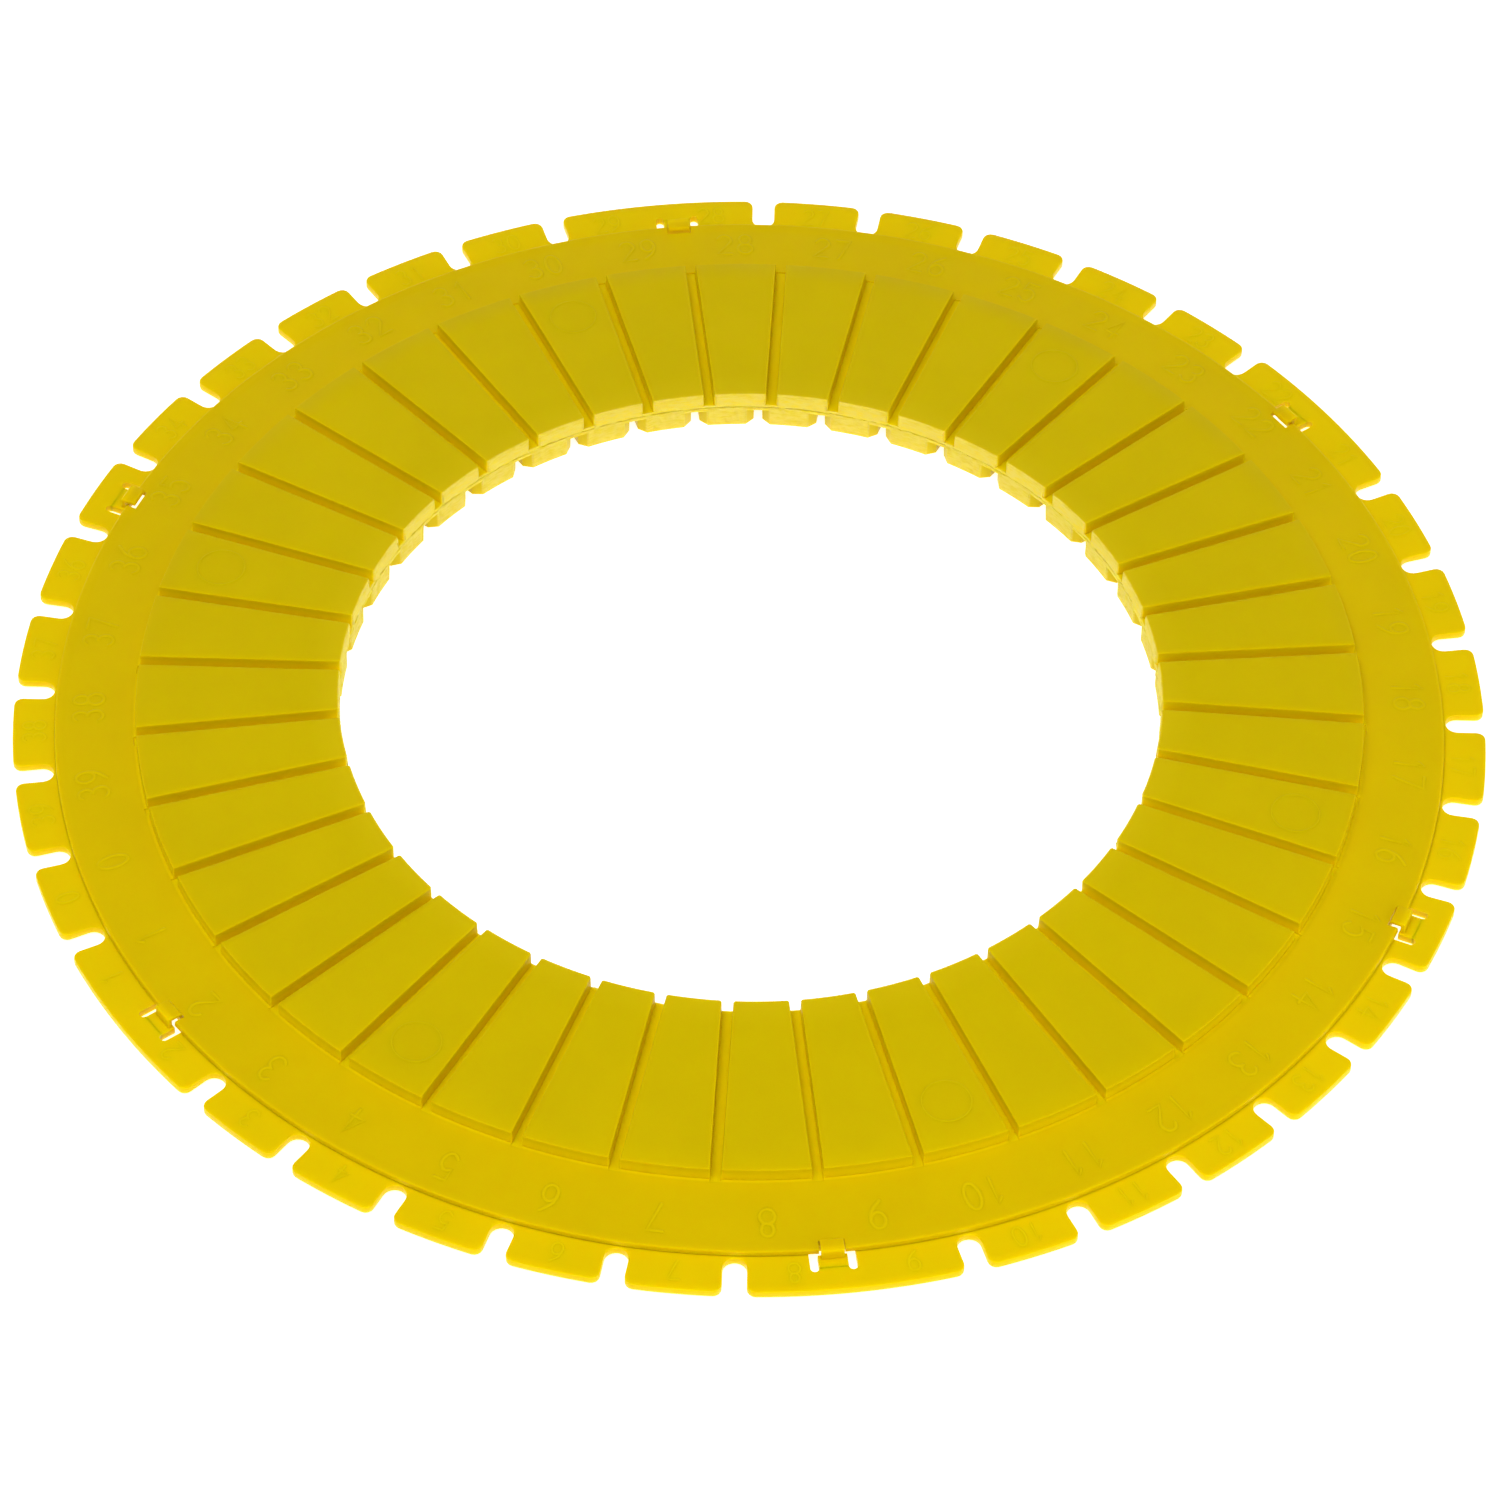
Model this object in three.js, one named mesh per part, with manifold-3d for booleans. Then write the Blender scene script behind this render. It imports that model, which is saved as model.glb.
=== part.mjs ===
// Two-part index ring: a flat moulded ring with forty numbered positions.
//
// The lower half is a thin notched flange round a raised deck with forty pads beneath it.
// The upper half lies on the deck, with forty wedge pads on top and a plain band outside them.
// Six sprung clips, cut out of the flange, reach up through the band's edge.
//
// Millimetres, +Z up. The origin is on the ring's axis at the level of the lower pads' feet,
// and the +X axis passes through the middle of a flange notch.

import * as THREE from 'three';
import { mergeVertices } from 'three/addons/utils/BufferGeometryUtils.js';
import Module from 'manifold-3d';

const wasm = await Module();
wasm.setup();

// ---------------------------------------------------------------- driving dimensions

const DIVISIONS = 40;
const PITCH = 360 / DIVISIONS;
const FACETS = 120; // straight sides that stand in for a full circle

const RIM_RADIUS = 160;
const INNER_RADIUS = 89.2;
const PAD_RADIUS = 133.1; // outer end of the pads, above and below
const SHOULDER_RADIUS = 136; // outer wall of the raised deck
const BAND_RADIUS = 150.9; // foot of the band's outer wall
const FIT_GAP = 0.15; // air left between the two halves where they meet
const SIDE_GAP = 0.3; // air round the raised deck where it sits in the upper half's recess

// Heights at the inner edge. Deck, webs and pad tops all fall outward on one shallow cone.
const CONE_SLOPE = 1.35 / (PAD_RADIUS - INNER_RADIUS);
const LOWER_GAP_TOP = 4.6;
const SEAM = 5.6;
const GROOVE_FLOOR = 6.2;
const PAD_TOP = 9.65;

// Flat heights.
const FLANGE_BOTTOM = 0.8;
const FLANGE_TOP = 2.7;
const BAND_BOTTOM = 2.8;
const BAND_TOP_OUTER = 4.05;
const BAND_TOP_INNER = 5.2;
const BAND_DRAFT = 0.1; // how far the band's outer wall leans in

// Notches in the flange.
const NOTCH_WIDTH = 5;
const NOTCH_INNER_RADIUS = 151.4;
const TAB_CORNER_RADIUS = 1.9;
const NOTCHES_LEFT_OUT = [4, 11, 24, 31]; // positions where a clip takes the room

// Gaps between the lower pads and grooves between the upper pads.
const LOWER_GAP_WIDTH = 1.9;
const LOWER_PAD_CHAMFER = 1.8;
const GROOVE_WIDTH = 2.4;
const GROOVE_OVERRUN = 0.7; // how far a groove runs on past the pads into the band
const UPPER_PAD_CHAMFER = 0.4;
const UPPER_TWIST = -1.9; // degrees the upper pads' grooves stand back from the notches

// Clips.
const CLIP_COUNT = 6;
const FIRST_CLIP_ANGLE = 37.5;
const TONGUE_WIDTH = 6.1;
const RELIEF_WIDTH = 1.8; // slot on each side of a tongue
const TONGUE_ROOT_RADIUS = 154.3;
const TONGUE_TIP_RADIUS = 151; // just outside the band, so that the tongue can rise
const ROOT_GAP = 0.2; // air at the line where the tongue flexes
const WINDOW_INNER_RADIUS = 148.6; // inner end of the opening round a tongue
const BLADE_WIDTH = 4.8;
const BLADE_THICKNESS = 1;
const BLADE_OUTER_RADIUS = 152.2;
const CLIP_TOP = 5.2;
const LIP_INNER_RADIUS = 148.7;
const LIP_THICKNESS = 0.9;
const CUTOUT_WIDTH = 5.4; // opening in the band that a clip stands in
const CUTOUT_INNER_RADIUS = 148.4;

const OVERSHOOT = 2; // how far a cutting tool runs past the face it cuts
const ARC_SEGMENTS = 4; // straight sides to each arc of a plan shape
const MERGE_DISTANCE = 1e-5;

// ---------------------------------------------------------------- helpers

function onCone(radius, heightAtInnerEdge) {
  return heightAtInnerEdge - CONE_SLOPE * (radius - INNER_RADIUS);
}

function toSolid(geometry) {
  geometry.deleteAttribute('normal');
  geometry.deleteAttribute('uv');
  const merged = mergeVertices(geometry, MERGE_DISTANCE);
  return new wasm.Manifold(new wasm.Mesh({
    numProp: 3,
    vertProperties: new Float32Array(merged.attributes.position.array),
    triVerts: new Uint32Array(merged.index.array),
  }));
}

function toMesh(solid, name, material) {
  const { vertProperties, triVerts } = solid.getMesh();
  const geometry = new THREE.BufferGeometry();
  geometry.setAttribute('position', new THREE.BufferAttribute(vertProperties, 3));
  geometry.setIndex(new THREE.BufferAttribute(triVerts, 1));
  geometry.computeVertexNormals();
  const mesh = new THREE.Mesh(geometry, material);
  mesh.name = name;
  return mesh;
}

// A ring turned from a closed section of [radius, height] points, listed anticlockwise.
function turnedRing(section) {
  const outline = [...section, section[0]].map(([radius, height]) => new THREE.Vector2(radius, height));
  const geometry = new THREE.LatheGeometry(outline, FACETS);
  geometry.rotateX(Math.PI / 2);
  return toSolid(geometry);
}

// An upright prism on a plan shape whose x is the radius, turned to its angle round the ring.
function prism(shape, bottom, top, degrees) {
  const geometry = new THREE.ExtrudeGeometry(shape, {
    depth: top - bottom,
    bevelEnabled: false,
    curveSegments: ARC_SEGMENTS,
  });
  geometry.translate(0, 0, bottom);
  geometry.rotateZ(THREE.MathUtils.degToRad(degrees));
  return toSolid(geometry);
}

// The same prism with both its ends following the cone.
function conePrism(shape, bottom, top, degrees) {
  const geometry = new THREE.ExtrudeGeometry(shape, { depth: top - bottom, bevelEnabled: false });
  const position = geometry.attributes.position;
  for (let i = 0; i < position.count; i += 1) {
    const height = bottom + position.getZ(i);
    position.setZ(i, onCone(position.getX(i), height));
  }
  geometry.rotateZ(THREE.MathUtils.degToRad(degrees));
  return toSolid(geometry);
}

function block(innerRadius, outerRadius, width) {
  return polygon([
    [innerRadius, -width / 2],
    [outerRadius, -width / 2],
    [outerRadius, width / 2],
    [innerRadius, width / 2],
  ]);
}

function polygon(points) {
  return new THREE.Shape(points.map(([x, y]) => new THREE.Vector2(x, y)));
}

// ---------------------------------------------------------------- plan shapes

// A radial slot that opens inward between two pads, whose inner corners are chamfered.
function padGap(width, chamfer, outerRadius) {
  const half = width / 2;
  const mouth = half + chamfer + OVERSHOOT;
  return polygon([
    [INNER_RADIUS - OVERSHOOT, -mouth],
    [INNER_RADIUS + chamfer, -half],
    [outerRadius, -half],
    [outerRadius, half],
    [INNER_RADIUS + chamfer, half],
    [INNER_RADIUS - OVERSHOOT, mouth],
  ]);
}

// A round-ended notch that flares where the tabs' corners are rounded.
function rimNotch() {
  const half = NOTCH_WIDTH / 2;
  const cornerOffset = half + TAB_CORNER_RADIUS;
  const rimAtCorner = Math.sqrt(RIM_RADIUS ** 2 - cornerOffset ** 2);
  const cornerX = rimAtCorner - TAB_CORNER_RADIUS;
  const endX = NOTCH_INNER_RADIUS + half;
  const shape = new THREE.Shape();
  shape.moveTo(cornerX, -half);
  shape.absarc(cornerX, -cornerOffset, TAB_CORNER_RADIUS, Math.PI / 2, 0, true);
  shape.lineTo(RIM_RADIUS + OVERSHOOT, -cornerOffset);
  shape.lineTo(RIM_RADIUS + OVERSHOOT, cornerOffset);
  shape.lineTo(rimAtCorner, cornerOffset);
  shape.absarc(cornerX, cornerOffset, TAB_CORNER_RADIUS, 0, -Math.PI / 2, true);
  shape.lineTo(endX, half);
  shape.absarc(endX, 0, half, Math.PI / 2, 1.5 * Math.PI, false);
  return shape;
}

// The opening round a tongue: two relief slots with round outer ends, joined under the band.
function tongueWindow() {
  const inner = TONGUE_WIDTH / 2;
  const outer = inner + RELIEF_WIDTH;
  const middle = inner + RELIEF_WIDTH / 2;
  const shape = new THREE.Shape();
  shape.moveTo(WINDOW_INNER_RADIUS, -outer);
  shape.lineTo(TONGUE_ROOT_RADIUS, -outer);
  shape.absarc(TONGUE_ROOT_RADIUS, -middle, RELIEF_WIDTH / 2, -Math.PI / 2, Math.PI / 2, false);
  shape.lineTo(TONGUE_ROOT_RADIUS, inner);
  shape.absarc(TONGUE_ROOT_RADIUS, middle, RELIEF_WIDTH / 2, -Math.PI / 2, Math.PI / 2, false);
  shape.lineTo(WINDOW_INNER_RADIUS, outer);
  return shape;
}

// ---------------------------------------------------------------- the pieces

function lowerRing() {
  let ring = turnedRing([
    [INNER_RADIUS, 0],
    [PAD_RADIUS, 0],
    [PAD_RADIUS, FLANGE_BOTTOM],
    [RIM_RADIUS, FLANGE_BOTTOM],
    [RIM_RADIUS, FLANGE_TOP],
    [SHOULDER_RADIUS, FLANGE_TOP],
    [SHOULDER_RADIUS, onCone(SHOULDER_RADIUS, SEAM) - FIT_GAP],
    [INNER_RADIUS, SEAM - FIT_GAP],
  ]);
  const gap = padGap(LOWER_GAP_WIDTH, LOWER_PAD_CHAMFER, PAD_RADIUS);
  const notch = rimNotch();
  for (let index = 0; index < DIVISIONS; index += 1) {
    const angle = index * PITCH;
    ring = ring.subtract(conePrism(gap, -OVERSHOOT, LOWER_GAP_TOP, angle));
    if (!NOTCHES_LEFT_OUT.includes(index)) {
      ring = ring.subtract(prism(notch, FLANGE_BOTTOM - OVERSHOOT, FLANGE_TOP + OVERSHOOT, angle));
    }
  }
  const opening = tongueWindow();
  for (const angle of clipAngles()) {
    ring = ring.subtract(prism(opening, FLANGE_BOTTOM - OVERSHOOT, FLANGE_TOP + OVERSHOOT, angle));
  }
  return ring;
}

function upperRing() {
  const recessRadius = SHOULDER_RADIUS + SIDE_GAP;
  let ring = turnedRing([
    [INNER_RADIUS, SEAM],
    [recessRadius, onCone(recessRadius, SEAM)],
    [recessRadius, BAND_BOTTOM],
    [BAND_RADIUS, BAND_BOTTOM],
    [BAND_RADIUS - BAND_DRAFT, BAND_TOP_OUTER],
    [PAD_RADIUS, BAND_TOP_INNER],
    [PAD_RADIUS, onCone(PAD_RADIUS, PAD_TOP)],
    [INNER_RADIUS, PAD_TOP],
  ]);
  const groove = padGap(GROOVE_WIDTH, UPPER_PAD_CHAMFER, PAD_RADIUS + GROOVE_OVERRUN);
  for (let index = 0; index < DIVISIONS; index += 1) {
    const angle = index * PITCH + UPPER_TWIST;
    ring = ring.subtract(conePrism(groove, GROOVE_FLOOR, PAD_TOP + OVERSHOOT, angle));
  }
  const cutout = block(CUTOUT_INNER_RADIUS, BAND_RADIUS + OVERSHOOT, CUTOUT_WIDTH);
  for (const angle of clipAngles()) {
    ring = ring.subtract(prism(cutout, BAND_BOTTOM - OVERSHOOT, BAND_TOP_INNER + OVERSHOOT, angle));
  }
  return ring;
}

// A flat tongue with an upright blade on its tip and a lip that points inward over the band.
function clip(angle) {
  const rootRadius = TONGUE_ROOT_RADIUS - ROOT_GAP;
  const bladeInnerRadius = BLADE_OUTER_RADIUS - BLADE_THICKNESS;
  const seat = FLANGE_TOP - BLADE_THICKNESS;
  const lipBottom = CLIP_TOP - LIP_THICKNESS;
  const tongue = block(TONGUE_TIP_RADIUS, rootRadius, TONGUE_WIDTH);
  const blade = block(bladeInnerRadius, BLADE_OUTER_RADIUS, BLADE_WIDTH);
  const lip = block(LIP_INNER_RADIUS, BLADE_OUTER_RADIUS, BLADE_WIDTH);
  return prism(tongue, FLANGE_BOTTOM, FLANGE_TOP, angle)
    .add(prism(blade, seat, CLIP_TOP, angle))
    .add(prism(lip, lipBottom, CLIP_TOP, angle));
}

function clipAngles() {
  return Array.from({ length: CLIP_COUNT }, (_, k) => FIRST_CLIP_ANGLE + (k * 360) / CLIP_COUNT);
}

// ---------------------------------------------------------------- assembly

const lowerPlastic = new THREE.MeshStandardMaterial({ color: 0xe6c400, roughness: 0.42, metalness: 0 });
const upperPlastic = new THREE.MeshStandardMaterial({ color: 0xd8b800, roughness: 0.45, metalness: 0 });
const clipPlastic = new THREE.MeshStandardMaterial({ color: 0xecca00, roughness: 0.4, metalness: 0 });

const ring = new THREE.Group();
ring.add(toMesh(lowerRing(), 'lower_ring', lowerPlastic));
ring.add(toMesh(upperRing(), 'upper_ring', upperPlastic));
clipAngles().forEach((angle, k) => {
  ring.add(toMesh(clip(angle), `clip_${k + 1}`, clipPlastic));
});

export default ring;
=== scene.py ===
"""The looks of a two-part index ring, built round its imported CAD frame.

Sizes are millimetres, turned into metres as each mesh is stored. Angles are degrees. The ring's own
frame has +Z along its axis, with the feet of the lower pads at z = 0 and a flange notch on +X.
"""

import math

import bmesh
import bpy
import numpy as np
from mathutils import Matrix, Vector, noise


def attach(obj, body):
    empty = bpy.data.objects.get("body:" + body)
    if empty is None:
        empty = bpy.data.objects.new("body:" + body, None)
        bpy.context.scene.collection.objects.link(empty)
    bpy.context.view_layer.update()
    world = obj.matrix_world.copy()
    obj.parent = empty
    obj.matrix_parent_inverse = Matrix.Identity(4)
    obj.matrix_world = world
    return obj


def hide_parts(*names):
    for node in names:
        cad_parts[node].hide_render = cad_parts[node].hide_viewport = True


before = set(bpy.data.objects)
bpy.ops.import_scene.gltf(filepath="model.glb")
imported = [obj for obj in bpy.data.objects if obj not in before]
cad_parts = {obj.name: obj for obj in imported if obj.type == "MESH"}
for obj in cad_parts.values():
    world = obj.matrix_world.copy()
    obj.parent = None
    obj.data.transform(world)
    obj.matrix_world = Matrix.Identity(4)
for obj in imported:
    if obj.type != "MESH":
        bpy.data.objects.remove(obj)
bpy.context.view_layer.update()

MM = 0.001

# ---------------------------------------------------------------- the ring's own dimensions

DIVISIONS = 40
PITCH = 360 / DIVISIONS

RIM_RADIUS = 159.95
INNER_RADIUS = 89.2
PAD_RADIUS = 133.1
SHOULDER_RADIUS = 136.0
BAND_RADIUS = 150.9
FIT_GAP = 0.15
SIDE_GAP = 0.3

CONE_SLOPE = 1.35 / (PAD_RADIUS - INNER_RADIUS)
LOWER_GAP_TOP = 4.6
SEAM = 5.6
GROOVE_FLOOR = 6.2
PAD_TOP = 9.65

FLANGE_BOTTOM = 0.8
FLANGE_TOP = 2.7
BAND_BOTTOM = 2.8
BAND_TOP_INNER = 5.2
VALLEY_RADIUS = 148.4  # where the band stops falling and turns up into its low outer lip
VALLEY_HEIGHT = 3.98
LIP_HEIGHT = 4.1

NOTCH_WIDTH = 5.0
NOTCH_INNER_RADIUS = 151.4
TAB_CORNER_RADIUS = 1.9
NOTCHES_LEFT_OUT = (4, 11, 24, 31)

LOWER_GAP_WIDTH = 1.9
LOWER_PAD_CHAMFER = 1.8
GROOVE_WIDTH = 2.4
GROOVE_OVERRUN = 0.7
UPPER_PAD_CHAMFER = 0.4
UPPER_TWIST = -1.9

CLIP_ANGLES = [37.5 + 60 * k for k in range(6)]
TONGUE_WIDTH = 6.1
RELIEF_WIDTH = 1.8
TONGUE_ROOT_RADIUS = 154.3
TONGUE_TIP_RADIUS = 151.0
WINDOW_INNER_RADIUS = 148.6
BLADE_WIDTH = 4.8
BLADE_THICKNESS = 1.0
BLADE_OUTER_RADIUS = 152.2
CLIP_TOP = 5.2
LIP_INNER_RADIUS = 148.7
LIP_THICKNESS = 0.9
CUTOUT_WIDTH = 5.4
CUTOUT_INNER_RADIUS = 148.4

EDGE_ROUND = 0.22  # radius of the moulded edges
DRAFT = 0.06  # how far a groove's wall leans outward from floor to top
SMALL_ROUND = 0.12  # lesser edges, such as the foot of the band
SMALL_FILLET = 0.15  # inner corners
WALL_UNEVENNESS = 0.35  # how far the trimmed inner walls wander
UPPER_WALL_SEED = 3.0
LOWER_WALL_SEED = 11.0
TOOL_OVERRUN = 2  # how far a cutting tool runs past the face it cuts
ROUND_KNEE = 0.29  # share of the radius that the middle of a rounded edge stands in from each face


def on_cone(radius, height_at_inner_edge):
    return height_at_inner_edge - CONE_SLOPE * (radius - INNER_RADIUS)


def band_top(radius):
    """Height of the band's upper face, which falls outward from the pads to the valley inside its lip."""
    run = (radius - PAD_RADIUS) / (VALLEY_RADIUS - PAD_RADIUS)
    return BAND_TOP_INNER + (VALLEY_HEIGHT - BAND_TOP_INNER) * run


# ---------------------------------------------------------------- mesh helpers


def new_object(name, mesh):
    piece = bpy.data.objects.new(name, mesh)
    bpy.context.scene.collection.objects.link(piece)
    return piece


def smooth_by_angle(mesh, degrees=35):
    mesh.shade_smooth()
    mesh.set_sharp_from_angle(angle=math.radians(degrees))


def torus_mesh(name, rows):
    """A closed ring from rows of points, each row once round the axis and the rows once round the section."""
    points = np.array(rows) * MM
    row_count, column_count = points.shape[:2]
    faces = []
    for i in range(row_count):
        below = i * column_count
        above = ((i + 1) % row_count) * column_count
        for j in range(column_count):
            k = (j + 1) % column_count
            faces.append((below + j, below + k, above + k, above + j))
    mesh = bpy.data.meshes.new(name)
    mesh.from_pydata(points.reshape(-1, 3).tolist(), [], faces)
    tidy = bmesh.new()
    tidy.from_mesh(mesh)
    bmesh.ops.recalc_face_normals(tidy, faces=tidy.faces)
    if tidy.calc_volume(signed=True) < 0:
        bmesh.ops.reverse_faces(tidy, faces=tidy.faces)
    tidy.to_mesh(mesh)
    tidy.free()
    return mesh


def prism_mesh(name, outline, bottom, top, rounding=0.0, skip_edge=None):
    """An upright prism on an outline of plan points, with its edges rounded unless skip_edge(edge) holds."""
    shape = bmesh.new()
    base = shape.faces.new([shape.verts.new((x * MM, y * MM, bottom * MM)) for x, y in outline])
    raised = bmesh.ops.extrude_face_region(shape, geom=[base])["geom"]
    lifted = [part for part in raised if isinstance(part, bmesh.types.BMVert)]
    bmesh.ops.translate(shape, verts=lifted, vec=(0, 0, (top - bottom) * MM))
    bmesh.ops.recalc_face_normals(shape, faces=shape.faces)
    if rounding:
        edges = [edge for edge in shape.edges if not (skip_edge and skip_edge(edge))]
        bmesh.ops.bevel(shape, geom=edges, offset=rounding * MM, segments=3, profile=0.5, affect="EDGES")
    mesh = bpy.data.meshes.new(name)
    shape.to_mesh(mesh)
    shape.free()
    return mesh


def combined(target, tools, operation):
    """target's mesh after an exact boolean with each tool, which is then removed."""
    for tool in tools:
        modifier = target.modifiers.new("cut", "BOOLEAN")
        modifier.operation = operation
        modifier.solver = "EXACT"
        modifier.object = tool
    graph = bpy.context.evaluated_depsgraph_get()
    result = bpy.data.meshes.new_from_object(target.evaluated_get(graph))
    target.modifiers.clear()
    target.data = result
    for tool in tools:
        bpy.data.objects.remove(tool)
    return target


def block(inner, outer, width):
    return [(inner, -width / 2), (outer, -width / 2), (outer, width / 2), (inner, width / 2)]


def arc(centre_x, centre_y, radius, start, end, steps):
    """Points on an arc between two angles, both ends included."""
    angles = [math.radians(start + (end - start) * i / steps) for i in range(steps + 1)]
    return [(centre_x + radius * math.cos(a), centre_y + radius * math.sin(a)) for a in angles]


def turned_point(x, y, degrees):
    turn = math.radians(degrees)
    return (x * math.cos(turn) - y * math.sin(turn), x * math.sin(turn) + y * math.cos(turn))


def turned(mesh, degrees):
    mesh.transform(Matrix.Rotation(math.radians(degrees), 4, "Z"))
    return mesh


# ---------------------------------------------------------------- columns round a padded face


def groove_half_width(radius, width, chamfer):
    """Half the gap between two pads, which opens at the chamfers on their inner corners."""
    return width / 2 + max(0.0, chamfer - (radius - INNER_RADIUS))


def half_columns(floor_steps, pad_steps):
    """The columns from a groove's middle to the pad's middle: where each lies and how much its edge drops."""
    columns = [("floor", i / floor_steps) for i in range(floor_steps + 1)]
    columns += [("wall", 1.0), ("knee", ROUND_KNEE), ("edge", 0.0)]
    columns += [("pad", share) for share in pad_steps]
    return columns


def column_angle(column, radius, half_width):
    """Angle in degrees between a groove's middle and a column at this radius."""
    kind, value = column
    edge = math.degrees(math.asin((half_width + EDGE_ROUND) / radius))
    if kind == "floor":
        lateral = value * (half_width - DRAFT)
    elif kind == "wall":
        lateral = half_width
    elif kind == "knee":
        lateral = half_width + ROUND_KNEE * EDGE_ROUND
    elif kind == "edge":
        return edge
    else:
        return edge + (PITCH / 2 - edge) * value
    return math.degrees(math.asin(lateral / radius))


def full_turn(columns):
    """Every column round the ring as (pitch index, side of the groove, column)."""
    outward = [(1, column) for column in columns]
    inward = [(-1, column) for column in reversed(columns[1:-1])]
    turn = []
    for index in range(DIVISIONS):
        turn += [(index, side, column) for side, column in outward]
        turn += [(index + 1, side, column) for side, column in inward]
    return turn


def point(radius, degrees, height):
    return (radius * math.cos(math.radians(degrees)), radius * math.sin(math.radians(degrees)), height)


def padded_rows(turn, phase, width, chamfer, stations, rise):
    """Rows of points over pads and grooves. A station gives the radius and height of the pad columns, the
    drop of its own rounded edge, and the radius and height of the floor columns; rise is 1 for pads
    that stand up and -1 for pads that hang down."""
    rows = []
    for pad_radius, pad_height, drop, floor_radius, floor_height in stations:
        row = []
        for index, side, column in turn:
            kind, value = column
            radius = floor_radius if kind == "floor" else pad_radius
            half_width = groove_half_width(radius, width, chamfer)
            degrees = phase + index * PITCH + side * column_angle(column, radius, half_width)
            if kind == "floor":
                height = floor_height
            elif drop is None or kind == "pad":
                height = pad_height - rise * EDGE_ROUND * (drop or 0.0)
            else:
                height = pad_height - rise * EDGE_ROUND * max(drop, value)
            row.append(point(radius, degrees, height))
        rows.append(row)
    return rows


def plain_rows(turn, phase, width, chamfer, stations):
    """Rows of points where the section is the same all the way round. Each station is a radius and a height,
    and a third value gives the radius whose column angles the row takes."""
    rows = []
    for radius, height, angle_radius in stations:
        half_width = groove_half_width(angle_radius, width, chamfer)
        row = []
        for index, side, column in turn:
            degrees = phase + index * PITCH + side * column_angle(column, angle_radius, half_width)
            row.append(point(radius, degrees, height))
        rows.append(row)
    return rows


def blended(low, high, share):
    """A row of points part of the way from one row to another."""
    return [tuple(a + (b - a) * share for a, b in zip(p, q)) for p, q in zip(low, high)]


def rough_wall(rows, first, depth, seed):
    """Moves the inner wall's rows in and out a little, the way a trimmed edge is uneven."""
    for i in range(first, len(rows)):
        moved = []
        for x, y, z in rows[i]:
            sample = Vector((x * 0.9, y * 0.9, z * 2.5 + seed))
            push = 1 + depth * noise.noise(sample) / INNER_RADIUS
            moved.append((x * push, y * push, z))
        rows[i] = moved


def between(low, high, shares):
    return [low + (high - low) * share for share in shares]


# ---------------------------------------------------------------- the upper half

BAND_UNDERSIDE_RADII = (147.0, 141.0)
PAD_STATIONS = (0.07, 0.14, 0.25, 0.38, 0.5, 0.62, 0.75, 0.88)


def pad_radii(chamfer):
    """Radii of the rows along a pad, from just inside its inner rounded edge to its outer one."""
    first = INNER_RADIUS + chamfer + 0.2
    radii = between(INNER_RADIUS + EDGE_ROUND, INNER_RADIUS + chamfer, (0.0, 0.4, 0.8, 1.0))
    radii += [first] + between(first, PAD_RADIUS - EDGE_ROUND, PAD_STATIONS)
    return radii + [PAD_RADIUS - EDGE_ROUND]


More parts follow.
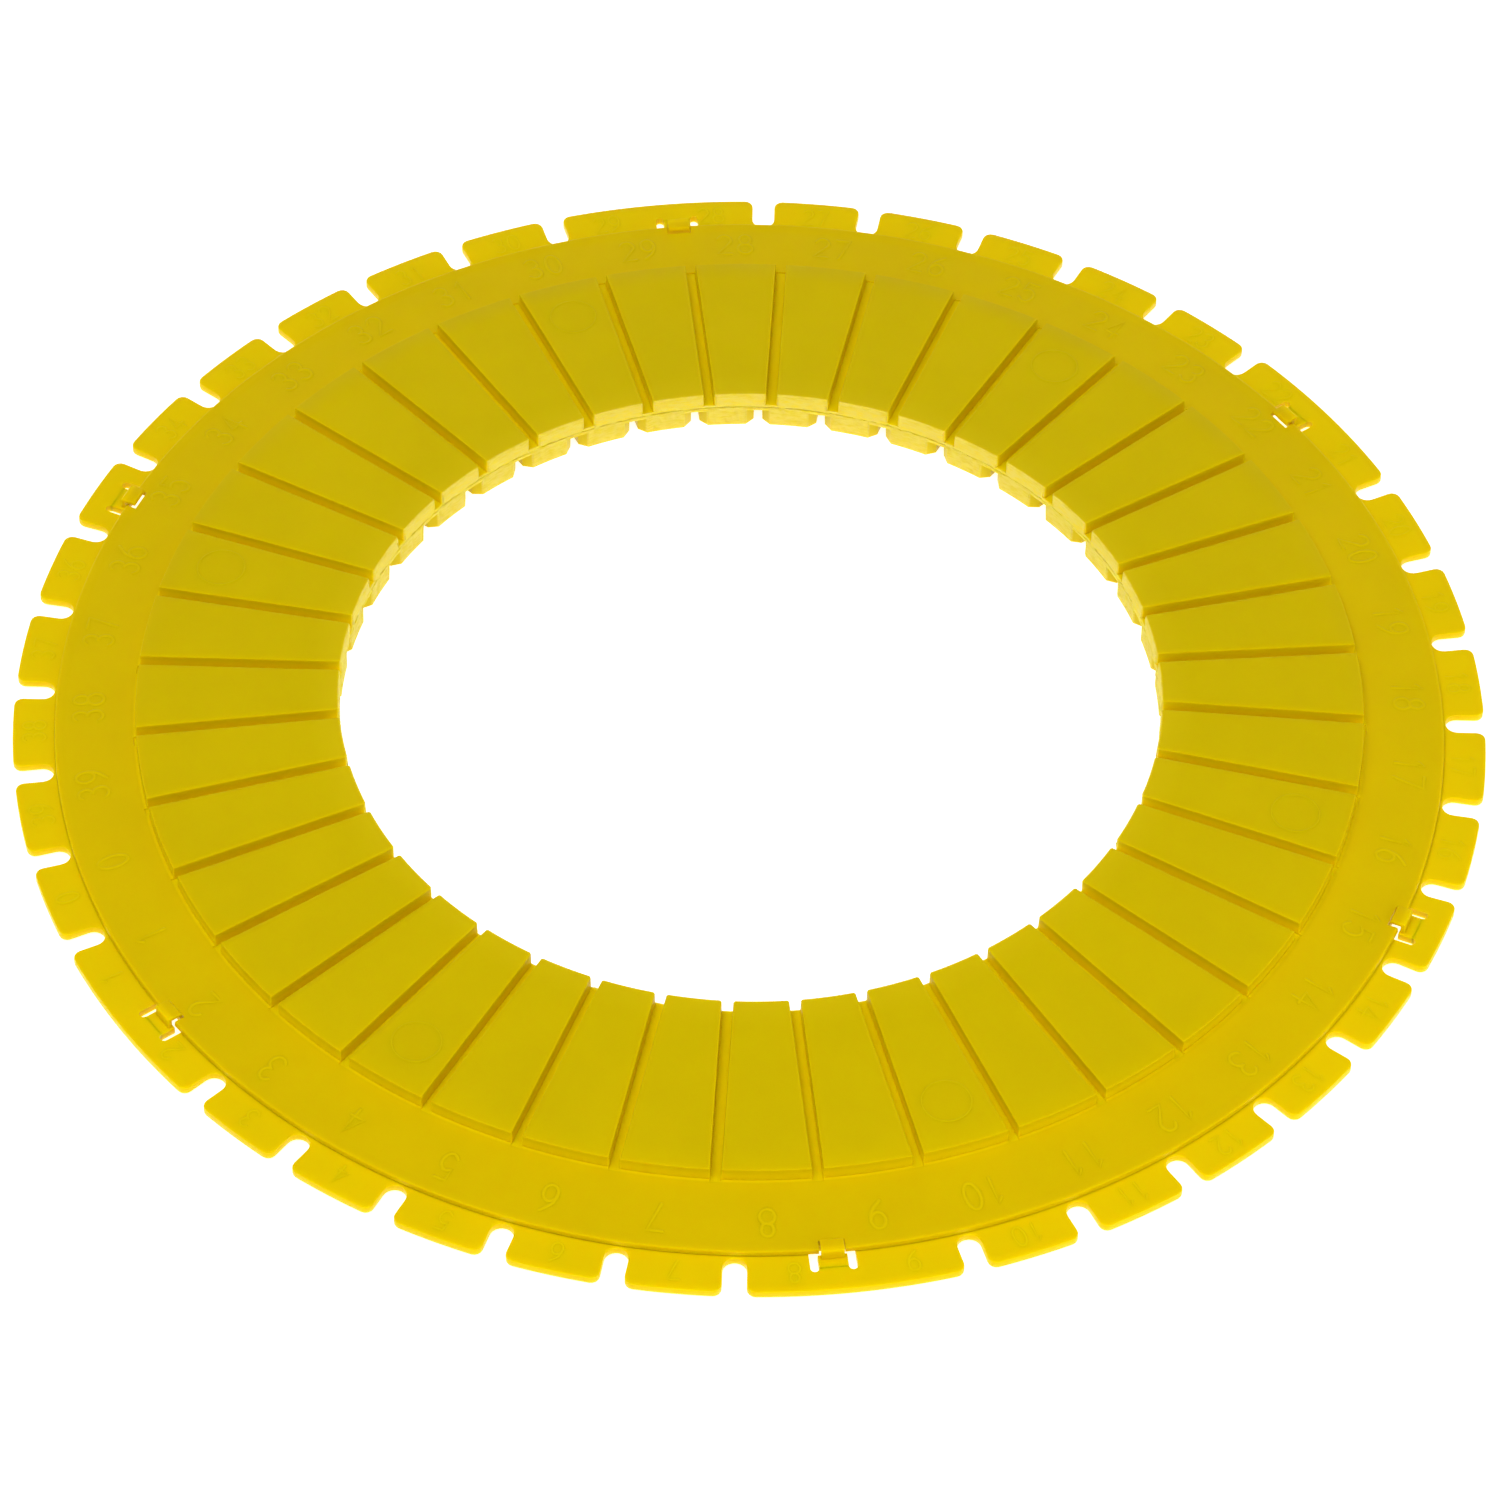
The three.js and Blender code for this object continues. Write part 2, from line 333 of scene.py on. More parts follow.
def upper_mesh():
    turn = full_turn(half_columns(3, (0.12, 0.3, 0.5, 0.75, 1.0)))
    shape = (turn, UPPER_TWIST, GROOVE_WIDTH, UPPER_PAD_CHAMFER)
    knee = ROUND_KNEE * EDGE_ROUND
    groove_end = PAD_RADIUS + GROOVE_OVERRUN

    stations = [(INNER_RADIUS, 1.0), (INNER_RADIUS + knee, ROUND_KNEE)]
    stations += [(radius, 0.0) for radius in pad_radii(UPPER_PAD_CHAMFER)]
    stations += [(PAD_RADIUS - knee, ROUND_KNEE), (PAD_RADIUS, 1.0)]
    top = [(r, on_cone(r, PAD_TOP), drop, r, on_cone(r, GROOVE_FLOOR)) for r, drop in stations]
    for pad_run, floor_run in ((0.06, 0.3), (0.5, 1.0)):
        pad_radius = PAD_RADIUS + GROOVE_OVERRUN * pad_run
        floor_radius = PAD_RADIUS + GROOVE_OVERRUN * floor_run
        floor_height = on_cone(floor_radius, GROOVE_FLOOR)
        top.append((pad_radius, band_top(pad_radius), None, floor_radius, floor_height))
    for run in (0.05, 0.5):
        radius = groove_end + run
        top.append((radius, band_top(radius), None, radius, band_top(radius)))
    rows = padded_rows(*shape, top, 1)

    recess = SHOULDER_RADIUS + SIDE_GAP
    section = [(r, band_top(r)) for r in between(groove_end, VALLEY_RADIUS, (0.2, 0.45, 0.7, 0.9, 0.975))]
    section += [(VALLEY_RADIUS + 0.4, VALLEY_HEIGHT), (BAND_RADIUS - 0.6, LIP_HEIGHT)]
    section += [(BAND_RADIUS - 0.3, LIP_HEIGHT - 0.05), (BAND_RADIUS - 0.12, LIP_HEIGHT - 0.2)]
    section += [(BAND_RADIUS, BAND_BOTTOM + SMALL_ROUND), (BAND_RADIUS - SMALL_ROUND, BAND_BOTTOM)]
    section += [(radius, BAND_BOTTOM) for radius in BAND_UNDERSIDE_RADII]
    section += [(recess + SMALL_FILLET, BAND_BOTTOM), (recess, BAND_BOTTOM + SMALL_FILLET)]
    section += [(recess, on_cone(recess, SEAM) - SMALL_FILLET), (recess - SMALL_FILLET, on_cone(recess, SEAM))]
    rows += plain_rows(*shape, [(r, z, PAD_RADIUS) for r, z in section])
    under = between(PAD_RADIUS, INNER_RADIUS, (0.0, 0.25, 0.5, 0.75, 0.95))
    rows += plain_rows(*shape, [(r, on_cone(r, SEAM), r) for r in under])
    rows += plain_rows(*shape, [(INNER_RADIUS + SMALL_ROUND, SEAM, INNER_RADIUS)])

    wall = len(rows)
    foot = plain_rows(*shape, [(INNER_RADIUS, SEAM + SMALL_ROUND, INNER_RADIUS)])[0]
    for share in (0.0, 0.3, 0.55, 0.8):
        rows.append(blended(foot, rows[0], share))
    rough_wall(rows, wall, WALL_UNEVENNESS, UPPER_WALL_SEED)
    return torus_mesh("upper_ring_mesh", rows)


def cutout_tools():
    tools = []
    for angle in CLIP_ANGLES:
        outline = block(CUTOUT_INNER_RADIUS, BAND_RADIUS + TOOL_OVERRUN, CUTOUT_WIDTH)
        mesh = prism_mesh("cutout", outline, BAND_BOTTOM - TOOL_OVERRUN, BAND_TOP_INNER + TOOL_OVERRUN)
        tools.append(new_object("cutout", turned(mesh, angle)))
    return tools


# ---------------------------------------------------------------- the lower half

# Shares of the way from a lower pad's edge to its middle, close together where the notch corner is.
TAB_STEPS = (0.16, 0.26, 0.32, 0.37, 0.42, 0.48, 0.57, 0.66, 0.75, 0.84, 0.92, 1.0)


def notch_outline():
    """Plan points from a notch's end along its wall, round the tab's corner and along the rim, to mid-tab."""
    half = NOTCH_WIDTH / 2
    corner_y = half + TAB_CORNER_RADIUS
    rim_x = math.sqrt(RIM_RADIUS**2 - corner_y**2)
    corner_x = rim_x - TAB_CORNER_RADIUS
    end_x = NOTCH_INNER_RADIUS + half
    points = arc(end_x, 0, half, 180, 90, 6)
    points.append(((end_x + corner_x) / 2, half))
    points += arc(corner_x, corner_y, TAB_CORNER_RADIUS, -90, 0, 4)
    corner_angle = math.degrees(math.asin(corner_y / RIM_RADIUS))
    for share in (1 / 6, 2 / 6, 3 / 6, 4 / 6, 5 / 6, 1):
        x, y, _ = point(RIM_RADIUS, corner_angle + (PITCH / 2 - corner_angle) * share, 0)
        points.append((x, y))
    return points


def rim_points(turn, columns):
    """The flange's outline, one plan point to a column, without the notches that a clip leaves no room for."""
    outline = dict(zip(columns, notch_outline()))
    half_width = groove_half_width(PAD_RADIUS, LOWER_GAP_WIDTH, LOWER_PAD_CHAMFER)
    points = []
    for index, side, column in turn:
        if index % DIVISIONS in NOTCHES_LEFT_OUT:
            x, y, _ = point(RIM_RADIUS, column_angle(column, SHOULDER_RADIUS, half_width), 0)
        else:
            x, y = outline[column]
        points.append(turned_point(x, y * side, index * PITCH))
    return np.array(points)


def drawn_in(points, distance):
    """An anticlockwise outline moved inward, square to itself."""
    along = np.roll(points, -1, axis=0) - np.roll(points, 1, axis=0)
    along /= np.linalg.norm(along, axis=1)[:, None]
    inward = np.stack([-along[:, 1], along[:, 0]], axis=1)
    return points + inward * distance


def lower_mesh():
    columns = half_columns(3, TAB_STEPS)
    turn = full_turn(columns)
    shape = (turn, 0.0, LOWER_GAP_WIDTH, LOWER_PAD_CHAMFER)
    knee = ROUND_KNEE * EDGE_ROUND
    deck = SEAM - FIT_GAP
    shoulder = on_cone(SHOULDER_RADIUS, deck)

    # Deck top, from the inner edge outward, and the shoulder down to the flange.
    rows = plain_rows(*shape, [(INNER_RADIUS + SMALL_ROUND, deck, INNER_RADIUS)])
    deck_radii = between(INNER_RADIUS, PAD_RADIUS, (0.05, 0.25, 0.5, 0.75, 1.0))
    rows += plain_rows(*shape, [(r, on_cone(r, deck), r) for r in deck_radii])
    section = [
        (SHOULDER_RADIUS - EDGE_ROUND, shoulder),
        (SHOULDER_RADIUS - knee, shoulder - knee),
        (SHOULDER_RADIUS, shoulder - EDGE_ROUND),
        (SHOULDER_RADIUS, FLANGE_TOP + SMALL_FILLET),
        (SHOULDER_RADIUS + SMALL_FILLET, FLANGE_TOP),
    ]
    rows += plain_rows(*shape, [(r, z, PAD_RADIUS) for r, z in section])

    # Flange, out to the notched outline, round its edge and back underneath.
    outline = rim_points(turn, columns)
    inner = np.array(rows[-1])[:, :2]
    rounded = drawn_in(outline, EDGE_ROUND)
    shares = (0.25, 0.5, 0.75, 0.93)
    reach = [inner + (rounded - inner) * share for share in shares] + [rounded]
    for plan in reach:
        rows.append([(x, y, FLANGE_TOP) for x, y in plan])
    for plan, height in (
        (drawn_in(outline, knee), FLANGE_TOP - knee),
        (outline, FLANGE_TOP - EDGE_ROUND),
        (outline, FLANGE_BOTTOM + EDGE_ROUND),
        (drawn_in(outline, knee), FLANGE_BOTTOM + knee),
    ):
        rows.append([(x, y, height) for x, y in plan])
    for plan in reversed(reach):
        rows.append([(x, y, FLANGE_BOTTOM) for x, y in plan])

    # Underside of the shoulder, then the pads and the gaps between them, back to the inner edge.
    rows += plain_rows(*shape, [(PAD_RADIUS + 0.6, FLANGE_BOTTOM, PAD_RADIUS)])
    stations = [(INNER_RADIUS, 1.0), (INNER_RADIUS + knee, ROUND_KNEE)]
    stations += [(radius, 0.0) for radius in pad_radii(LOWER_PAD_CHAMFER)]
    stations += [(PAD_RADIUS - knee, ROUND_KNEE), (PAD_RADIUS, 1.0)]
    below = [(r, 0.0, drop, r, on_cone(r, LOWER_GAP_TOP)) for r, drop in stations]
    foot = PAD_RADIUS + 0.05
    below.append((foot, FLANGE_BOTTOM, None, foot, FLANGE_BOTTOM))
    rows += list(reversed(padded_rows(*shape, below, -1)))

    wall = len(rows)
    crest = plain_rows(*shape, [(INNER_RADIUS, deck - SMALL_ROUND, INNER_RADIUS)])[0]
    lowest = rows[-1]
    for share in (0.2, 0.45, 0.7, 1.0):
        rows.append(blended(lowest, crest, share))
    rough_wall(rows, wall, WALL_UNEVENNESS, LOWER_WALL_SEED)
    return torus_mesh("lower_ring_mesh", rows)


def window_tools():
    """Cutting tools for the openings round the six tongues."""
    inner = TONGUE_WIDTH / 2
    middle = inner + RELIEF_WIDTH / 2
    outer = inner + RELIEF_WIDTH
    outline = [(WINDOW_INNER_RADIUS, -outer)]
    outline += arc(TONGUE_ROOT_RADIUS, -middle, RELIEF_WIDTH / 2, -90, 90, 10)
    outline += arc(TONGUE_ROOT_RADIUS, middle, RELIEF_WIDTH / 2, -90, 90, 10)
    outline.append((WINDOW_INNER_RADIUS, outer))
    tools = []
    for angle in CLIP_ANGLES:
        mesh = prism_mesh("window", outline, FLANGE_BOTTOM - TOOL_OVERRUN, FLANGE_TOP + TOOL_OVERRUN)
        tools.append(new_object("window", turned(mesh, angle)))
    return tools


def clip_mesh(name, angle):
    """A tongue with an upright blade on its tip and a lip that points inward."""
    root = TONGUE_ROOT_RADIUS * MM

    def at_root(edge):
        return all(vert.co.x > root - 1e-6 for vert in edge.verts)

    tongue = prism_mesh("tongue", block(TONGUE_TIP_RADIUS, TONGUE_ROOT_RADIUS, TONGUE_WIDTH),
                        FLANGE_BOTTOM, FLANGE_TOP, 0.15, at_root)
    blade_inner = BLADE_OUTER_RADIUS - BLADE_THICKNESS
    hook = [
        (blade_inner, FLANGE_TOP - 0.8),
        (BLADE_OUTER_RADIUS, FLANGE_TOP - 0.8),
        (BLADE_OUTER_RADIUS, CLIP_TOP - 0.3),
        (BLADE_OUTER_RADIUS - 0.3, CLIP_TOP),
        (LIP_INNER_RADIUS + 0.4, CLIP_TOP),
        (LIP_INNER_RADIUS, CLIP_TOP - 0.45),
        (LIP_INNER_RADIUS, CLIP_TOP - LIP_THICKNESS),
        (blade_inner, CLIP_TOP - LIP_THICKNESS),
    ]
    half = BLADE_WIDTH / 2
    upright = prism_mesh("hook", hook, -half, half, 0.12)
    upright.transform(Matrix.Rotation(math.radians(90), 4, "X"))
    piece = new_object(name, turned(tongue, angle))
    combined(piece, [new_object("hook", turned(upright, angle))], "UNION")
    return piece


# ---------------------------------------------------------------- raised figures and ejector marks


def bow(centre_x, centre_y, half_width, half_height, start, end, steps=10):
    """Points on an elliptical arc between two angles, both ends included."""
    angles = [math.radians(start + (end - start) * i / steps) for i in range(steps + 1)]
    return [(centre_x + half_width * math.cos(a), centre_y + half_height * math.sin(a)) for a in angles]


# Strokes of each figure in a cell one wide and one high.
FIGURES = {
    "0": [bow(0.5, 0.5, 0.5, 0.5, 90, 450, 20)],
    "1": [[(0.25, 0.8), (0.55, 1.0), (0.55, 0.0)]],
    "2": [bow(0.5, 0.72, 0.48, 0.28, 165, -25) + [(0.02, 0.0), (1.0, 0.0)]],
    "3": [bow(0.46, 0.76, 0.44, 0.24, 150, -80), bow(0.46, 0.27, 0.5, 0.27, 85, -150)],
    "4": [[(0.72, 0.0), (0.72, 1.0), (0.0, 0.3), (1.0, 0.3)]],
    "5": [[(0.92, 1.0), (0.14, 1.0), (0.08, 0.56)] + bow(0.47, 0.33, 0.5, 0.33, 120, -145)],
    "6": [[(0.82, 1.0)] + bow(0.9, 0.3, 0.88, 0.62, 125, 178, 6), bow(0.5, 0.3, 0.48, 0.3, 180, 540, 18)],
    "7": [[(0.0, 1.0), (1.0, 1.0), (0.35, 0.0)]],
    "8": [bow(0.5, 0.76, 0.4, 0.24, 90, 450, 16), bow(0.5, 0.27, 0.5, 0.27, 90, 450, 18)],
    "9": [[(0.18, 0.0)] + bow(0.1, 0.7, 0.88, 0.62, -55, -2, 6), bow(0.5, 0.7, 0.48, 0.3, 0, 360, 18)],
}


def ridge_mesh(name, strokes, ridge, height):
    """Round-ended ridges along strokes of plan points in millimetres. ridge gives a ridge's radius and how far
    it is flattened, and height(radius) is the height of the face that the ridges stand on."""
    radius, squash = ridge
    curve = bpy.data.curves.new(name, "CURVE")
    curve.dimensions = "3D"
    curve.bevel_depth = radius * MM
    curve.bevel_resolution = 2
    for stroke in strokes:
        path = [Vector((x, y, 0.0)) for x, y in stroke]
        head = (path[0] - path[1]).normalized() * radius
        tail = (path[-1] - path[-2]).normalized() * radius
        cap = [(math.sin(math.radians(a)), math.cos(math.radians(a))) for a in (88, 60, 30)]
        points = [(path[0] + head * out, girth) for out, girth in cap]
        points += [(place, 1.0) for place in path]
        points += [(path[-1] + tail * out, girth) for out, girth in reversed(cap)]
        spline = curve.splines.new("POLY")
        spline.points.add(len(points) - 1)
        for target, (place, girth) in zip(spline.points, points):
            target.co = (place.x * MM, place.y * MM, 0.0, 1.0)
            target.radius = girth
    maker = new_object(name, curve)
    graph = bpy.context.evaluated_depsgraph_get()
    mesh = bpy.data.meshes.new_from_object(maker.evaluated_get(graph))
    bpy.data.objects.remove(maker)
    for vert in mesh.vertices:
        vert.co.z = vert.co.z * squash + height(math.hypot(vert.co.x, vert.co.y) / MM) * MM
    return mesh


def number_strokes(number, degrees, foot_radius, size, spacing):
    """Strokes of a number that stands with its foot toward the axis, centred on an angle."""
    width, tall = size
    text = str(number)
    strokes = []
    for place, figure in enumerate(text):
        left = (place - (len(text) - 1) / 2) * spacing - width / 2
        for stroke in FIGURES[figure]:
            points = []
            for u, v in stroke:
                out, side = foot_radius + v * tall, -(left + u * width)
                points.append(turned_point(out, side, degrees))
            strokes.append(points)
    return strokes


NUMBER_AT_ZERO = 18  # the number beside the +X axis; numbers rise anticlockwise
BAND_NUMBER_PHASE = 2.55
BAND_NUMBER_FOOT = 140.2
BAND_NUMBER_SIZE = (3.2, 6.6)
BAND_NUMBER_SPACING = 4.8
BAND_NUMBER_RIDGE = (0.4, 0.32)
TAB_NUMBER_FOOT = 152.7
TAB_NUMBER_SIZE = (2.4, 4.9)
TAB_NUMBER_SPACING = 3.5
TAB_NUMBER_RIDGE = (0.28, 0.28)
EJECTOR_PADS = (12, 6, 18, -2, -8, -14)
EJECTOR_RADIUS = 5.2
EJECTOR_CENTRE = 121.6
EJECTOR_RIDGE = (0.22, 0.35)


def band_number_strokes():
    strokes = []
    for number in range(DIVISIONS):
        degrees = BAND_NUMBER_PHASE + PITCH * (number - NUMBER_AT_ZERO)
        strokes += number_strokes(number, degrees, BAND_NUMBER_FOOT, BAND_NUMBER_SIZE, BAND_NUMBER_SPACING)
    return strokes


def tab_number_strokes():
    strokes = []
    for number in range(DIVISIONS):
        degrees = PITCH / 2 + PITCH * (number - NUMBER_AT_ZERO)
        clear = all(abs((degrees - angle + 180) % 360 - 180) > 1 for angle in CLIP_ANGLES)
        if clear:
            strokes += number_strokes(number, degrees, TAB_NUMBER_FOOT, TAB_NUMBER_SIZE, TAB_NUMBER_SPACING)
    return strokes


def ejector_strokes():
    strokes = []
    for pad in EJECTOR_PADS:
        x, y, _ = point(EJECTOR_CENTRE, BAND_NUMBER_PHASE + PITCH * pad, 0)
        strokes.append(arc(x, y, EJECTOR_RADIUS, 0, 360, 48))
    return strokes


# ---------------------------------------------------------------- materials


def wire(tree, kind, feeds, **settings):
    """A new node with its settings made and its inputs fed from sockets or values."""
    node = tree.nodes.new(kind)
    for key, value in settings.items():
        setattr(node, key, value)
    for key, value in feeds.items():
        if isinstance(value, bpy.types.NodeSocket):
            tree.links.new(value, node.inputs[key])
        else:
            node.inputs[key].default_value = value
    return node


def math_node(tree, operation, a, b=0.0, clamp=False):
    return wire(tree, "ShaderNodeMath", {0: a, 1: b}, operation=operation, use_clamp=clamp).outputs[0]


def fade(tree, value, start, end):
    """0 at start and 1 at end, smooth between them."""
    feeds = {"Value": value, "From Min": start, "From Max": end}
    return wire(tree, "ShaderNodeMapRange", feeds, interpolation_type="SMOOTHSTEP").outputs["Result"]


def mix_colour(tree, share, a, b):
    feeds = {"Factor": share, 6: a, 7: b}
    return wire(tree, "ShaderNodeMix", feeds, data_type="RGBA").outputs[2]


def noise_node(tree, vector, scale, detail=3.0):
    feeds = {"Vector": vector, "Scale": scale, "Detail": detail, "Roughness": 0.6}
    return wire(tree, "ShaderNodeTexNoise", feeds).outputs["Fac"]


# Colour against radius: thick pads look deeper than the band, and the thin flange lets most light through.
RADIAL_COLOURS = (
    (89.0, (0.662, 0.506, 0.002)),
    (96.0, (0.628, 0.478, 0.000)),
    (132.9, (0.638, 0.481, 0.000)),
    (134.3, (0.690, 0.500, 0.000)),
    (150.5, (0.690, 0.500, 0.000)),
    (151.1, (0.775, 0.575, 0.000)),
    (160.0, (0.775, 0.577, 0.000)),
)
# Painted light for the grooves' bottoms: an orange, brighter than the pads, for light scattered and bounced
# inside them.
GROOVE_PAINTED_LIGHT_COLOUR = (0.80, 0.60, 0.0, 1.0)
CUT_COLOUR = (0.74, 0.60, 0.10, 1.0)
SPREAD = 1.2  # how far light spreads inside the plastic
SPREAD_BY_CHANNEL = (1.0, 0.8, 0.05)
PLASTIC_IOR = 1.49


def plastic(name, roughness, grooved=False, thin=False):
    """Yellow translucent moulding. grooved adds painted light at the bottom of the upper half's grooves: a
    deeper orange, brighter than the pads, for the light that scatters and bounces there. thin leaves out the
    light that spreads inside, for relief too low to hold any."""
    material = bpy.data.materials.new(name)
    material.use_nodes = True
    tree = material.node_tree
    shader = tree.nodes["Principled BSDF"]
    place = tree.nodes.new("ShaderNodeTexCoord").outputs["Object"]
    axes = wire(tree, "ShaderNodeSeparateXYZ", {0: place})
    flat = wire(tree, "ShaderNodeCombineXYZ", {0: axes.outputs["X"], 1: axes.outputs["Y"]}).outputs[0]
    radius = wire(tree, "ShaderNodeVectorMath", {0: flat}, operation="LENGTH").outputs["Value"]
    height = axes.outputs["Z"]

    ramp = wire(tree, "ShaderNodeValToRGB", {0: math_node(tree, "DIVIDE", radius, 160 * MM)})
    stops = ramp.color_ramp.elements
    for position, (stop_radius, colour) in enumerate(RADIAL_COLOURS):
        stop = stops[position] if position < 2 else stops.new(stop_radius / 160)
        stop.position = stop_radius / 160
        stop.color = (*colour, 1.0)
    colour = ramp.outputs["Color"]

    if grooved:
        # Depth below the cone on which the pads' tops lie.
        fall = math_node(tree, "MULTIPLY", math_node(tree, "SUBTRACT", radius, INNER_RADIUS * MM), CONE_SLOPE)
        depth = math_node(tree, "SUBTRACT", PAD_TOP * MM, math_node(tree, "ADD", height, fall))
        deep = fade(tree, depth, 0.2 * MM, 2.2 * MM)
        inside = fade(tree, radius, (PAD_RADIUS + GROOVE_OVERRUN + 0.3) * MM, (PAD_RADIUS + 0.3) * MM)
        # Painted light: deep in each groove the colour turns to a brighter orange, for the light that scatters
        # and bounces in it.
        colour = mix_colour(tree, math_node(tree, "MULTIPLY", deep, inside), colour, GROOVE_PAINTED_LIGHT_COLOUR)

    # Slow flow marks from the moulding, then a fine grain.
    flow = fade(tree, noise_node(tree, place, 45.0, 2.0), 0.3, 0.7)
    grain = noise_node(tree, place, 2600.0, 4.0)
    marks = math_node(tree, "MULTIPLY", flow, 0.035)
    shade = math_node(tree, "ADD", marks, math_node(tree, "MULTIPLY", grain, 0.05))
    tone = {"Value": math_node(tree, "ADD", shade, 0.955), "Color": colour}
    colour = wire(tree, "ShaderNodeHueSaturation", tone).outputs["Color"]

    # The inner wall is trimmed, not moulded: pale, rough and streaked along its length.
    wall = fade(tree, radius, (INNER_RADIUS + 0.4) * MM, (INNER_RADIUS + 0.1) * MM)
    stretch = {0: place, 1: (1.0, 1.0, 5.0)}
    squeezed = wire(tree, "ShaderNodeVectorMath", stretch, operation="MULTIPLY").outputs[0]
    streaks = fade(tree, noise_node(tree, squeezed, 420.0, 5.0), 0.32, 0.62)
    paleness = math_node(tree, "ADD", math_node(tree, "MULTIPLY", streaks, 0.6), 0.35)
    pale = math_node(tree, "MULTIPLY", wall, paleness)
    colour = mix_colour(tree, pale, colour, CUT_COLOUR)
    tree.links.new(colour, shader.inputs["Base Color"])

    rubbed = fade(tree, noise_node(tree, place, 120.0, 6.0), 0.35, 0.75)
    rough = math_node(tree, "ADD", math_node(tree, "MULTIPLY", rubbed, 0.16), roughness)
    rough = math_node(tree, "ADD", rough, math_node(tree, "MULTIPLY", wall, 0.25), clamp=True)
    tree.links.new(rough, shader.inputs["Roughness"])

    fine = math_node(tree, "MULTIPLY", grain, 0.3)
    relief = math_node(tree, "ADD", fine, math_node(tree, "MULTIPLY", rubbed, 0.4))
    scored = math_node(tree, "MULTIPLY", wall, streaks)
    relief = math_node(tree, "ADD", relief, math_node(tree, "MULTIPLY", scored, 2.5))
    bump = wire(tree, "ShaderNodeBump", {"Height": relief, "Strength": 0.35, "Distance": 0.06 * MM})
    tree.links.new(bump.outputs["Normal"], shader.inputs["Normal"])

    shader.inputs["Subsurface Weight"].default_value = 0.0 if thin else 1.0
    shader.inputs["Subsurface Radius"].default_value = SPREAD_BY_CHANNEL
    shader.inputs["Subsurface Scale"].default_value = SPREAD * MM
    shader.inputs["IOR"].default_value = PLASTIC_IOR
    shader.inputs["Specular IOR Level"].default_value = 0.2
    shader.inputs["Specular Tint"].default_value = (1.0, 0.85, 0.0, 1.0)
    return material


# ---------------------------------------------------------------- assemble

lower_plastic = plastic("lower_moulding_plastic", 0.36)
upper_plastic = plastic("upper_moulding_plastic", 0.38, grooved=True)
clip_plastic = plastic("clip_plastic", 0.34)
relief_plastic = plastic("raised_relief_plastic", 0.38, thin=True)


def finish_piece(piece, material, body, slot, *replaced):
    smooth_by_angle(piece.data)
    piece.data.materials.clear()
    piece.data.materials.append(material)
    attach(piece, body)
    if replaced:
        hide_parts(*replaced)
    return piece


upper = combined(new_object("upper_moulding", upper_mesh()), cutout_tools(), "DIFFERENCE")
finish_piece(upper, upper_plastic, "upper_half", "upper_plastic", "upper_ring")
lower = combined(new_object("lower_moulding", lower_mesh()), window_tools(), "DIFFERENCE")
finish_piece(lower, lower_plastic, "lower_half", "lower_plastic", "lower_ring")
for number, clip_angle in enumerate(CLIP_ANGLES, 1):
    clip = clip_mesh(f"spring_clip_{number}", clip_angle)
    finish_piece(clip, clip_plastic, f"clip_{number}", "clip_plastic", f"clip_{number}")

figures = ridge_mesh("band_numbers", band_number_strokes(), BAND_NUMBER_RIDGE, band_top)
finish_piece(new_object("band_numbers", figures), relief_plastic, "upper_half", "upper_plastic")
figures = ridge_mesh("tab_numbers", tab_number_strokes(), TAB_NUMBER_RIDGE, lambda radius: FLANGE_TOP)
finish_piece(new_object("tab_numbers", figures), relief_plastic, "lower_half", "lower_plastic")
rings = ridge_mesh("ejector_rings", ejector_strokes(), EJECTOR_RIDGE, lambda radius: on_cone(radius, PAD_TOP))
finish_piece(new_object("ejector_rings", rings), relief_plastic, "upper_half", "upper_plastic")

# ---------------------------------------------------------------- floor, light and camera

floor = new_object("floor", bpy.data.meshes.new("floor"))
shape = bmesh.new()
bmesh.ops.create_grid(shape, x_segments=1, y_segments=1, size=6.0)
shape.to_mesh(floor.data)
shape.free()
white = bpy.data.materials.new("floor_white")
white.use_nodes = True
shader = white.node_tree.nodes["Principled BSDF"]
shader.inputs["Base Color"].default_value = (0.85, 0.85, 0.85, 1)
shader.inputs["Roughness"].default_value = 0.5
shader.inputs["Emission Color"].default_value = (1, 1, 1, 1)
shader.inputs["Emission Strength"].default_value = 0.8
floor.data.materials.append(white)


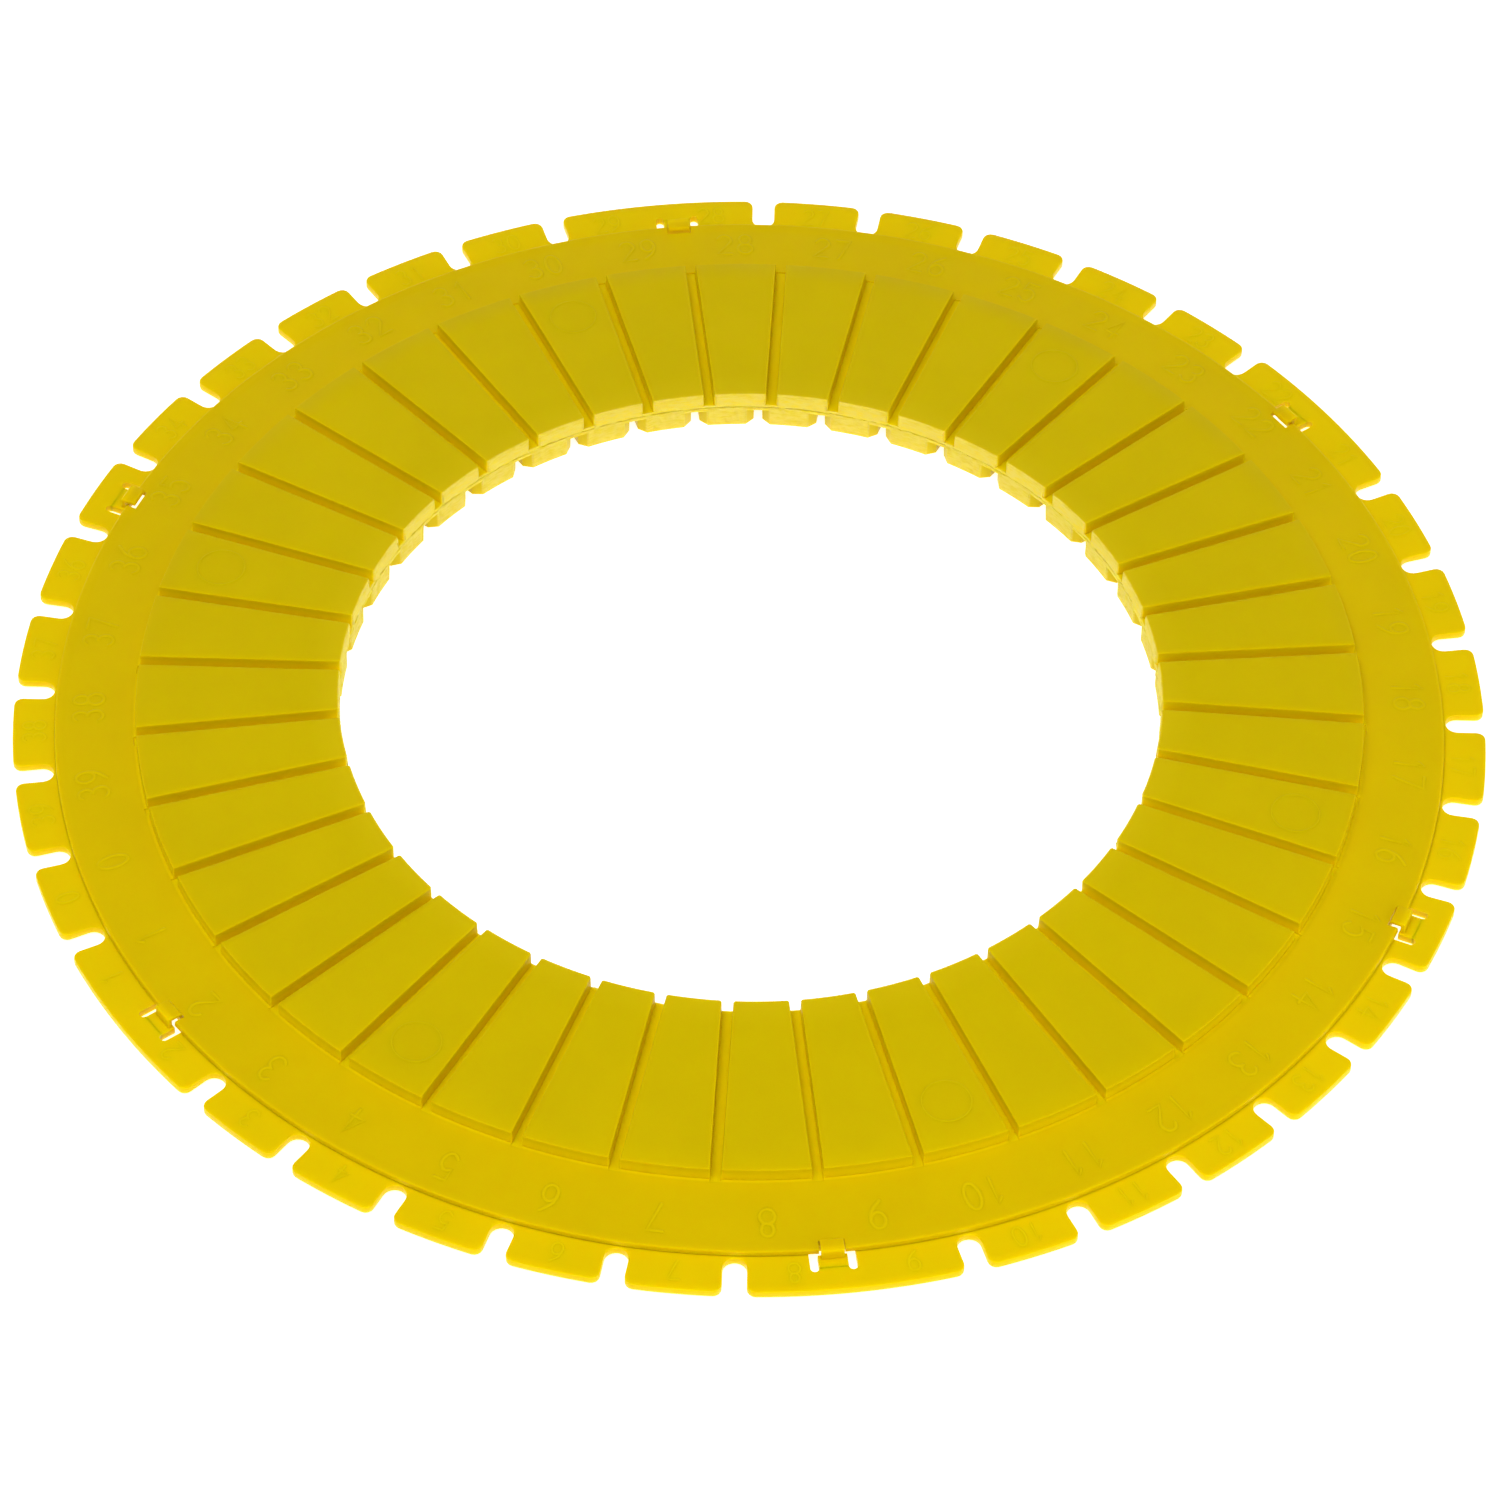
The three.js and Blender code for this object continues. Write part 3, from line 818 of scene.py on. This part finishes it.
def area_light(name, place, size, power):
    data = bpy.data.lights.new(name, "AREA")
    data.size = size
    data.energy = power
    lamp = bpy.data.objects.new(name, data)
    bpy.context.scene.collection.objects.link(lamp)
    lamp.location = place
    lamp.rotation_euler = (Vector((0, 0, 0)) - Vector(place)).to_track_quat("-Z", "Y").to_euler()
    return lamp


area_light("overhead", (-0.25, -0.45, 1.6), 1.4, 20.7)
area_light("right_front", (0.55, -0.5, 0.28), 0.3, 1.1)

world = bpy.data.worlds.new("studio")
bpy.context.scene.world = world
world.use_nodes = True
world.node_tree.nodes["Background"].inputs["Color"].default_value = (1, 1, 1, 1)
world.node_tree.nodes["Background"].inputs["Strength"].default_value = 0.35
bpy.context.scene.view_settings.view_transform = "Standard"

# The camera stands in front of the ring and looks down on it, with a slight roll.
CAMERA_ELEVATION = 47.95
CAMERA_AZIMUTH = -89.69  # direction of the camera from the ring, in the ring's own frame
CAMERA_DISTANCE = 1468.2
CAMERA_ROLL = 1.13
AIM_BELOW_CENTRE = 9.4  # how far the optical axis passes under the ring's centre, on the picture
LENS = 161.9


def place_camera():
    elevation = math.radians(CAMERA_ELEVATION)
    azimuth = math.radians(CAMERA_AZIMUTH)
    outward = Vector((math.cos(azimuth) * math.cos(elevation), math.sin(azimuth) * math.cos(elevation),
                      math.sin(elevation)))
    forward = -outward
    right = forward.cross(Vector((0, 0, 1))).normalized()
    up = right.cross(forward)
    roll = math.radians(CAMERA_ROLL)
    rolled_right = math.cos(roll) * right + math.sin(roll) * up
    rolled_up = math.cos(roll) * up - math.sin(roll) * right
    centre = Vector((0, 0, FLANGE_TOP)) * MM
    aim = centre - rolled_up * AIM_BELOW_CENTRE * MM
    place = aim + outward * CAMERA_DISTANCE * MM
    camera = bpy.data.objects.new("camera", bpy.data.cameras.new("camera"))
    bpy.context.scene.collection.objects.link(camera)
    axes = Matrix((rolled_right, rolled_up, outward)).transposed()
    camera.matrix_world = Matrix.Translation(place) @ axes.to_4x4()
    camera.data.lens = LENS
    camera.data.sensor_width = 36
    camera.data.clip_start = 0.05
    bpy.context.scene.camera = camera


place_camera()
